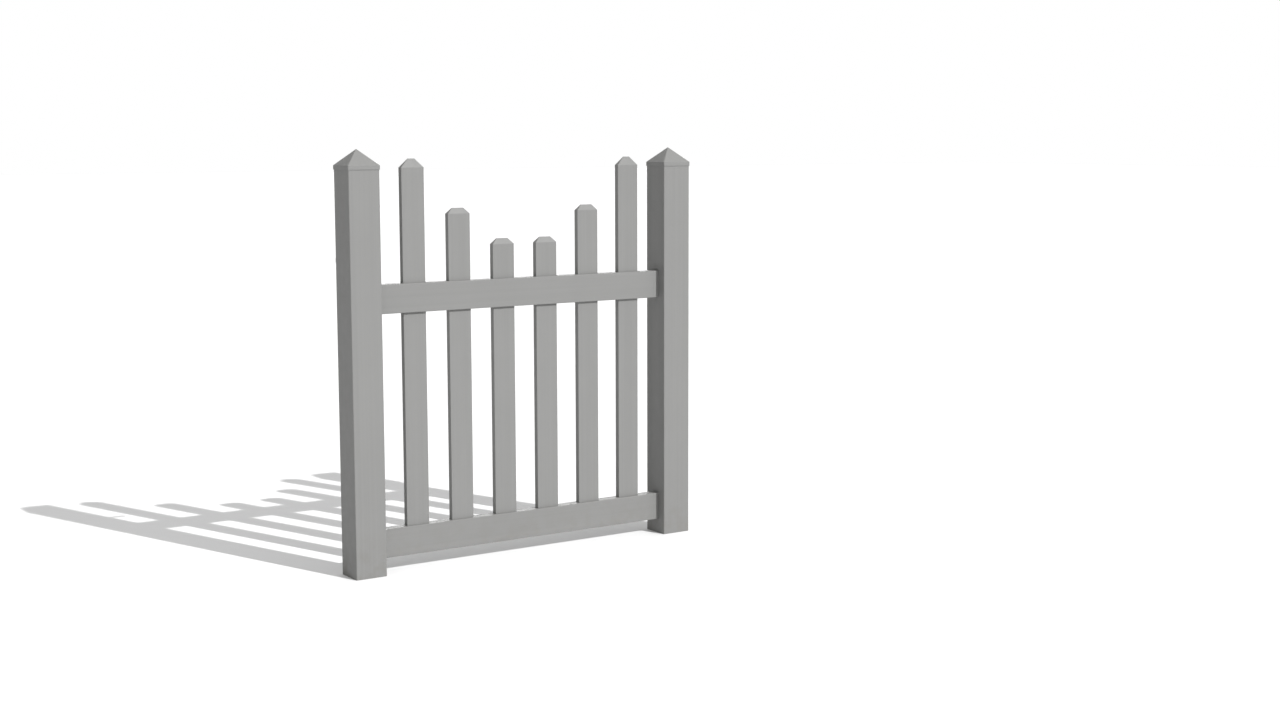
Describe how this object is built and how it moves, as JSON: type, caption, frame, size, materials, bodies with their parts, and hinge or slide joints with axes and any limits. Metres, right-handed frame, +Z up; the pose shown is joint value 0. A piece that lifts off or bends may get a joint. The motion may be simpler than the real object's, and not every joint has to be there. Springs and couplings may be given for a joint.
{
  "type": "garden gate",
  "caption": "Picket garden gate leaf with square capped stiles, two rails, a dipping row of hipped pickets, butt hinges and a slide bolt behind.",
  "frame": {"origin": "middle of the hinge stile's foot, on the plane that both feet stand on", "axes": "+X from the leaf towards the post it hangs on, +Y through the gate from front to back (the way it opens), +Z up"},
  "size_m": [1.2469, 0.1438, 1.292],
  "materials": {
    "pvc": "extruded PVC in a mid grey, low sheen, faint lengthwise die lines",
    "plug_pvc": "moulded PVC plugs and lock rings, matte",
    "stiffener_aluminium": "mill-finish aluminium channel",
    "hinge_steel": "black powder coat, fine texture",
    "stainless": "drawn stainless steel",
    "nylon": "natural nylon",
    "knob_plastic": "black moulded knob, semi-gloss"
  },
  "bodies": {
    "post_hinges": {"upper_hinge_post_plate": "hinge_steel", "upper_hinge_pin": "stainless", "upper_hinge_washers": "nylon", "lower_hinge_post_plate": "hinge_steel", "lower_hinge_pin": "stainless", "lower_hinge_washers": "nylon"},
    "leaf": {"bolt_plate": "hinge_steel", "bolt_screws": "stainless", "bottom_rail": "pvc", "bottom_rail_hinge_lock_ring": "plug_pvc", "bottom_rail_latch_lock_ring": "plug_pvc", "bottom_rail_picket_screws": "stainless", "hinge_stile": "pvc", "hinge_stile_cap": "pvc", "hinge_stile_foot": "plug_pvc", "hinge_stile_insert": "stiffener_aluminium", "latch_stile": "pvc", "latch_stile_cap": "pvc", "latch_stile_foot": "plug_pvc", "latch_stile_insert": "stiffener_aluminium", "lower_hinge_gate_plate": "hinge_steel", "lower_hinge_screws": "stainless", "picket_1": "pvc", "picket_2": "pvc", "picket_3": "pvc", "picket_4": "pvc", "picket_5": "pvc", "picket_6": "pvc", "picket_cap_1": "pvc", "picket_cap_2": "pvc", "picket_cap_3": "pvc", "picket_cap_4": "pvc", "picket_cap_5": "pvc", "picket_cap_6": "pvc", "top_rail": "pvc", "top_rail_hinge_lock_ring": "plug_pvc", "top_rail_latch_lock_ring": "plug_pvc", "top_rail_picket_screws": "stainless", "upper_hinge_gate_plate": "hinge_steel", "upper_hinge_screws": "stainless"},
    "latch_bolt": {"bolt_rod": "stainless", "bolt_knob": "knob_plastic"}
  },
  "joints": [
    {"name": "gate_swing", "type": "hinge", "parent": "post_hinges", "child": "leaf", "pos_m": [0.0578, 0.0593, 0], "axis": [0, 0, -1], "range_deg": [0, 110]},
    {"name": "bolt_slide", "type": "slide", "parent": "leaf", "child": "latch_bolt", "axis": [-1, 0, 0], "range_m": [0, 0.05]}
  ]
}
